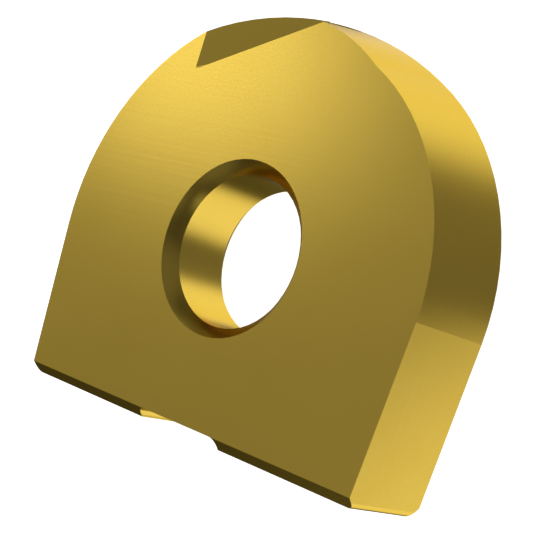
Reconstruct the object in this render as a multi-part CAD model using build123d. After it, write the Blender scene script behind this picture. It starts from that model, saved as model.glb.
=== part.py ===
from build123d import *
from math import asin, cos, degrees, radians, sin, sqrt, tan
import os

# Ball-nose milling insert: a flat plate of coated cemented carbide with two cutting edges,
# ground so that both edges lie on one ball. It has one seat face up and one down, and half
# a turn about Y brings it back onto itself, so either edge can be the one that cuts first.
#
# Frame: the origin is the centre of the ball, which is also the middle of the screw hole.
# Y points to the tip, X runs across the plate, and Z is its thickness, along the screw.
# Lengths are in millimetres and angles in degrees.

# --- Plate and cutting edges
ball_diameter = 16.0          # the ball that both cutting edges lie on
thickness = 3.0               # between the two seat faces
base_distance = 6.0           # from the ball's centre down to the base that the pocket locates
side_taper = 4.7              # each straight side leans in this much towards the base

# --- Relief behind the cutting edges, measured square to the seat faces
tip_relief = 12.0             # from the tip to the start of the gash
side_relief = 7.5             # along the straight sides

# --- Gash: the V-groove in each face that brings the edge to the middle of the tip
gash_start_angle = 29.5       # how far round from the tip the gash leaves the seat face
gash_corner_height = 5.5      # the groove's corner on the face, above the ball's centre
gash_slope = 22.0             # rise of the groove's lower wall across the face
gash_root_radius = 0.08       # left by the wheel's corner in the bottom of the groove
web_thickness = 0.1           # carbide left between the two gashes at the tip

# --- Screw hole, the same from both faces
screw_hole_diameter = 5.0
sink_diameter = 5.75
sink_depth = 0.45
sink_bulge = 0.02             # how far the rounded wall of the sink stands proud of a straight cone

# --- Base: the surface that seats in the holder
base_chamfer = 0.32           # along the front and back edges of the base
base_corner_radius = 0.2      # where the sides meet the base
notch_width = 3.5             # shallow notch across the middle of the base
notch_depth = 0.32
notch_corner_radius = 0.25

# --- Worked out from the sizes above
ball_radius = ball_diameter / 2
half_thickness = thickness / 2
edge_radius = sqrt(ball_radius**2 - half_thickness**2)      # the ball cut by a seat face
gash_reach = edge_radius * sin(radians(gash_start_angle))   # from the long axis to its start
gash_fall = (half_thickness - web_thickness / 2) / gash_reach
side_angle = 90 + side_taper                                # where the side leaves the arc
turned_over = Rotation(0, 180, 0)                           # swaps the two cutting edges


def at_angle(angle_from_tip, radius):
    """The point in the plate's plane at this angle round from the tip."""
    return (radius * sin(radians(angle_from_tip)), radius * cos(radians(angle_from_tip)))


def relieved(radius, edge_height, relief, height):
    """The radius that is left at a height above the edge, once the relief is ground."""
    return radius - (height - edge_height) * tan(radians(relief))


def tip_point(x_on_edge, height):
    """A point of the tip's flank, above or below the edge's point at x_on_edge."""
    edge_height = -(web_thickness / 2 + gash_fall * x_on_edge)
    radius = sqrt(ball_radius**2 - edge_height**2)
    angle_from_tip = degrees(asin(x_on_edge / radius))
    return at_angle(angle_from_tip, relieved(radius, edge_height, tip_relief, height))


def arc_point(share, height):
    """A point of the round flank, from the gash's start (share 0) to the side (share 1)."""
    angle_from_tip = gash_start_angle + share * (side_angle - gash_start_angle)
    relief = tip_relief + share * (side_relief - tip_relief)
    return at_angle(angle_from_tip, relieved(edge_radius, -half_thickness, relief, height))


def half_outline(height):
    """The right half of the plate, cut at a height: tip, round flank, side and base."""
    side_x, side_y = arc_point(1, height)
    base_x = side_x - (side_y + base_distance) * tan(radians(side_taper))
    tip_arc = ThreePointArc(tip_point(0, height), tip_point(gash_reach / 2, height), arc_point(0, height))
    round_arc = ThreePointArc(arc_point(0, height), arc_point(0.5, height), (side_x, side_y))
    rest = Polyline(
        (side_x, side_y),
        (base_x, -base_distance),
        (0, -base_distance),
        tip_point(0, height),
    )
    return Pos(0, 0, height) * make_face(tip_arc + round_arc + rest)


def blank():
    """Both halves: each is widest at its cutting edge and relieved towards the other face."""
    right_half = loft([half_outline(-half_thickness), half_outline(half_thickness)], ruled=True)
    return right_half + turned_over * right_half


def gash():
    """The V-groove of the upper face. Its two walls are square to each other."""
    rake_normal = Vector(gash_fall, 0, 1).normalized()
    lower_edge = Vector(cos(radians(gash_slope)), sin(radians(gash_slope)), 0)
    floor_normal = rake_normal.cross(lower_edge).normalized()
    root = floor_normal.cross(rake_normal)
    corner = Vector(-gash_reach, gash_corner_height, half_thickness)
    across_root = Plane(origin=corner - root * thickness, x_dir=floor_normal, z_dir=root)
    groove = Rectangle(ball_diameter, ball_diameter, align=(Align.MIN, Align.MIN))
    root_corner = groove.vertices().sort_by_distance((0, 0, 0))[0]
    groove = fillet(root_corner, gash_root_radius)
    return extrude(across_root * groove, amount=2 * ball_diameter)


def screw_hole():
    """The bore, with a rounded sink at each end for the screw's head."""
    bore_radius = screw_hole_diameter / 2
    sink_radius = sink_diameter / 2
    bore_end = half_thickness - sink_depth
    lower_sink = SagittaArc((sink_radius, -half_thickness), (bore_radius, -bore_end), sink_bulge)
    bore_wall = Line((bore_radius, -bore_end), (bore_radius, bore_end))
    upper_sink = SagittaArc((bore_radius, bore_end), (sink_radius, half_thickness), sink_bulge)
    rest = Polyline(
        (sink_radius, half_thickness),
        (0, half_thickness),
        (0, -half_thickness),
        (sink_radius, -half_thickness),
    )
    profile = make_face(lower_sink + bore_wall + upper_sink + rest)
    return revolve(Plane.XZ * profile, axis=Axis.Z)


def base_edge():
    """What the chamfer takes off the base's upper edge."""
    profile = Polyline(
        (-base_distance, half_thickness),
        (-base_distance + base_chamfer, half_thickness),
        (-base_distance, half_thickness - base_chamfer),
        close=True,
    )
    return extrude(Plane.YZ * make_face(profile), amount=ball_radius, both=True)


def base_notch():
    """The shallow notch across the base, from face to face."""
    notch = Pos(0, -base_distance) * Rectangle(notch_width, 2 * notch_depth)
    notch = fillet(notch.vertices().group_by(Axis.Y)[-1], notch_corner_radius)
    return extrude(notch, amount=half_thickness, both=True)


def insert():
    """The finished plate."""
    plate = blank()
    base_edges = plate.faces().sort_by(Axis.Y)[0].edges().sort_by(Axis.X)
    plate = fillet([base_edges[0], base_edges[-1]], base_corner_radius)
    for side_up in (Rotation(0, 0, 0), turned_over):
        plate -= side_up * gash()
        plate -= side_up * base_edge()
    return plate - base_notch() - screw_hole()


os.makedirs("parts", exist_ok=True)
export_step(insert(), "parts/ball_nose_insert.step")
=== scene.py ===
from math import cos, radians, sin

import bpy
from mathutils import Matrix, Vector


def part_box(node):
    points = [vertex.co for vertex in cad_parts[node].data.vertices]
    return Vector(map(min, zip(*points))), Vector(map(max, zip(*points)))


# Ball nose milling insert: cemented carbide under a gold nitride coating, lying on one of its
# seat faces on a pale table. Metres, in the part's own frame: X across the plate, Y to the tip
# and Z along the screw, with the origin in the middle of the screw hole.

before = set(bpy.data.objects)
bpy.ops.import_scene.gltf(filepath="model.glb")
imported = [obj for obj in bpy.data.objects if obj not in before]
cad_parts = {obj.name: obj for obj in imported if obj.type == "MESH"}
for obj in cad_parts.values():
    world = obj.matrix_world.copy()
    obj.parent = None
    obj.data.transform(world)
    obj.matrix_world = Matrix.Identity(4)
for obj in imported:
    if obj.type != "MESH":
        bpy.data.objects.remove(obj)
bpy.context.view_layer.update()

MM = 0.001
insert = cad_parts["ball_nose_insert"]
table_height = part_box("ball_nose_insert")[0].z

# --- Camera: close above the insert's right side, looking down through the screw hole
EYE = Vector((24.157, -1.173, 27.232)) * MM
AIM = Vector((0.491, -0.218, 0.0)) * MM
UPWARDS = Vector((-0.204, 0.956, 0.211))          # what is up in the picture
LENS = 76.0                           # in millimetres, as is the film
FILM = 36.0
NEAREST = 1.0 * MM
FARTHEST = 10.0

# --- Coating: titanium nitride, a few thousandths of a millimetre thick. Lengths in millimetres.
# Real grit is finer, and real grind lines are about 0.02 mm apart, too fine to show at this size,
# so both are drawn coarser.
THIN_COATING = "#CCAE4B"
THICK_COATING = "#C6A845"
EDGE_ON = "#E5D6B2"                   # its tint where it is seen edge-on
PATCH = 2.5                           # width of the patches of thicker coating
GRIT = 0.06
SMOOTHEST = 0.22                      # roughness, between the marks of the grit
ROUGHEST = 0.26                       # roughness, on them
LINE_SPACING = 0.12
LINE_LENGTH = 8.0
LINE_DEPTH = 0.0007
SEAT_FACE = 0.8                       # the least that a seat face's normal reaches along Z
NOISE_LOW = 0.3                       # noise seldom leaves this range
NOISE_HIGH = 0.7

# --- Light: a dim room with soft round panels, in degrees
ROOM = 0.072
PANELS = (
    # azimuth, elevation, half-angle, fade, brightness
    (164, 41, 6, 4, 2.05),            # key, on the face above the hole
    (142, 47, 40, 3, 0.31),           # wide and dim, over the whole face
    (-47, -56, 26.5, 8.5, 1.4),       # low left, in the bore and on the straight side
    (104, -52, 25, 7.5, 1.35),        # low right, in the bore and round the nose
    (93, -64, 47, 40, 0.2),           # fill between the two
    (-97, 32, 12, 18, 0.14),          # glow in the sink
    (53, 36, 20, 21, 0.14),           # glow in the sink, other side
    (-178, 2, 20, 12, 1.0),           # this and the rest light the sides turned away
    (-30, -10, 14, 12, 1.3),
    (25, -10, 12, 10, 1.1),
    (-120, 52, 14, 10, 1.0),
    (112, 44, 12, 10, 1.0),
    (-55, 66, 14, 12, 0.9),
    (-86, -13, 9, 8, 1.1),
    (-4, 6, 8, 6, 0.9),
    (-45, 12, 10, 9, 0.6),
    (-124, -26, 7, 6, 0.9),
)

# --- Table
TABLE_COLOUR = "#F4F4F2"
TABLE_ROUGHNESS = 0.9
TABLE_GLOW = 0.93
HALF_TABLE = 1.0                      # metres


def linear(hex_colour):
    """An sRGB hex colour as the linear colour that shaders take."""
    channels = [int(hex_colour[i:i + 2], 16) / 255 for i in (1, 3, 5)]
    return [c / 12.92 if c <= 0.04045 else ((c + 0.055) / 1.055) ** 2.4 for c in channels] + [1.0]


def add(tree, kind, inputs, **settings):
    """Adds a node. Each input takes a value, or a link from another node's output.

    Inputs go by name, or by number where the node has several of one name.
    """
    node = tree.nodes.new(kind)
    for name, value in settings.items():
        setattr(node, name, value)
    for socket, value in inputs.items():
        if isinstance(value, bpy.types.NodeSocket):
            tree.links.new(value, node.inputs[socket])
        else:
            node.inputs[socket].default_value = value
    return node


def noise(tree, place, width, octaves):
    """Soft noise from about 0 to 1, with patches this wide."""
    inputs = {"Vector": place, "Scale": 1 / width, "Detail": octaves}
    return add(tree, "ShaderNodeTexNoise", inputs).outputs["Fac"]


def stretched(tree, place, stretch):
    """The place multiplied by a number for each axis."""
    return add(tree, "ShaderNodeVectorMath", {0: place, 1: stretch}, operation="MULTIPLY").outputs[0]


def coated_carbide():
    """Carbide under a titanium nitride coating: a warm gold metal, satin from the grind."""
    material = bpy.data.materials.new("coated_carbide")
    material.use_nodes = True
    tree = material.node_tree
    shader = tree.nodes["Principled BSDF"]
    shader.inputs["Metallic"].default_value = 1.0
    shader.inputs["Specular Tint"].default_value = linear(EDGE_ON)
    where = add(tree, "ShaderNodeTexCoord", {})
    place = stretched(tree, where.outputs["Object"], (1 / MM, 1 / MM, 1 / MM))

    # The coating is a shade deeper where it lies thicker.
    patches = noise(tree, place, width=PATCH, octaves=2.0)
    tones = {0: patches, 6: linear(THIN_COATING), 7: linear(THICK_COATING)}
    tone = add(tree, "ShaderNodeMix", tones, data_type="RGBA")
    tree.links.new(tone.outputs[2], shader.inputs["Base Color"])

    # The grit of the wheel leaves a satin that isn't quite even.
    finish = {
        "Value": noise(tree, place, width=GRIT, octaves=1.0),
        "From Min": NOISE_LOW,
        "From Max": NOISE_HIGH,
        "To Min": SMOOTHEST,
        "To Max": ROUGHEST,
    }
    satin = add(tree, "ShaderNodeMapRange", finish)
    tree.links.new(satin.outputs[0], shader.inputs["Roughness"])

    # Grind lines run across the seat faces, and along the edges on the flanks.
    along = 1 / LINE_LENGTH
    between = 1 / LINE_SPACING
    round_flank = stretched(tree, place, (along, along, between))
    across_face = stretched(tree, place, (along, between, along))
    facing = add(tree, "ShaderNodeSeparateXYZ", {0: where.outputs["Normal"]})
    reach = add(tree, "ShaderNodeMath", {0: facing.outputs["Z"]}, operation="ABSOLUTE")
    is_face = add(tree, "ShaderNodeMath", {0: reach.outputs[0], 1: SEAT_FACE}, operation="GREATER_THAN")
    ways = {0: is_face.outputs[0], 4: round_flank, 5: across_face}
    way = add(tree, "ShaderNodeMix", ways, data_type="VECTOR")
    lines = noise(tree, way.outputs[1], width=1.0, octaves=2.0)
    relief = add(tree, "ShaderNodeBump", {"Height": lines, "Strength": 1.0, "Distance": LINE_DEPTH * MM})
    tree.links.new(relief.outputs[0], shader.inputs["Normal"])
    return material


def direction(azimuth, elevation):
    """A unit vector: azimuth counts from +X towards +Y, elevation up from the table."""
    turn = radians(azimuth)
    rise = radians(elevation)
    return Vector((cos(turn) * cos(rise), sin(turn) * cos(rise), sin(rise)))


def studio():
    """The light all round: every panel is a soft-edged disc on the sky, added to the room."""
    world = bpy.data.worlds.new("studio")
    world.use_nodes = True
    tree = world.node_tree
    background = tree.nodes["Background"]
    looking = add(tree, "ShaderNodeTexCoord", {}).outputs["Generated"]
    total = ROOM
    for azimuth, elevation, half_angle, fade, brightness in PANELS:
        towards = direction(azimuth, elevation)
        nearness = add(tree, "ShaderNodeVectorMath", {0: looking, 1: towards}, operation="DOT_PRODUCT")
        disc = {
            "Value": nearness.outputs["Value"],
            "From Min": cos(radians(half_angle + fade)),
            "From Max": cos(radians(half_angle - fade)),
            "To Min": 0.0,
            "To Max": brightness,
        }
        panel = add(tree, "ShaderNodeMapRange", disc, interpolation_type="SMOOTHSTEP")
        total = add(tree, "ShaderNodeMath", {0: total, 1: panel.outputs[0]}).outputs[0]
    tree.links.new(total, background.inputs["Strength"])
    background.inputs["Color"].default_value = (1, 1, 1, 1)
    bpy.context.scene.world = world


def table():
    """A wide pale table, bright as lit paper. The low panels light the metal through it."""
    ends = (-HALF_TABLE, HALF_TABLE)
    corners = [(x, y, table_height) for y in ends for x in ends]
    mesh = bpy.data.meshes.new("table")
    mesh.from_pydata(corners, [], [(0, 1, 3, 2)])
    floor = bpy.data.objects.new("table", mesh)
    bpy.context.scene.collection.objects.link(floor)
    material = bpy.data.materials.new("pale_table")
    material.use_nodes = True
    shader = material.node_tree.nodes["Principled BSDF"]
    shader.inputs["Base Color"].default_value = linear(TABLE_COLOUR)
    shader.inputs["Roughness"].default_value = TABLE_ROUGHNESS
    shader.inputs["Emission Color"].default_value = (1, 1, 1, 1)
    shader.inputs["Emission Strength"].default_value = TABLE_GLOW
    floor.data.materials.append(material)
    floor.visible_glossy = False
    floor.visible_shadow = False


def camera():
    """The camera, turned so that UPWARDS is up in the picture."""
    lens = bpy.data.cameras.new("camera")
    lens.sensor_width = FILM
    lens.lens = LENS
    lens.clip_start = NEAREST
    lens.clip_end = FARTHEST
    back = (EYE - AIM).normalized()
    right = UPWARDS.cross(back).normalized()
    up = back.cross(right)
    holder = bpy.data.objects.new("camera", lens)
    holder.matrix_world = Matrix.Translation(EYE) @ Matrix((right, up, back)).transposed().to_4x4()
    bpy.context.scene.collection.objects.link(holder)
    bpy.context.scene.camera = holder


insert.material_slots[0].material = coated_carbide()
studio()
table()
camera()
bpy.context.scene.view_settings.view_transform = "Standard"
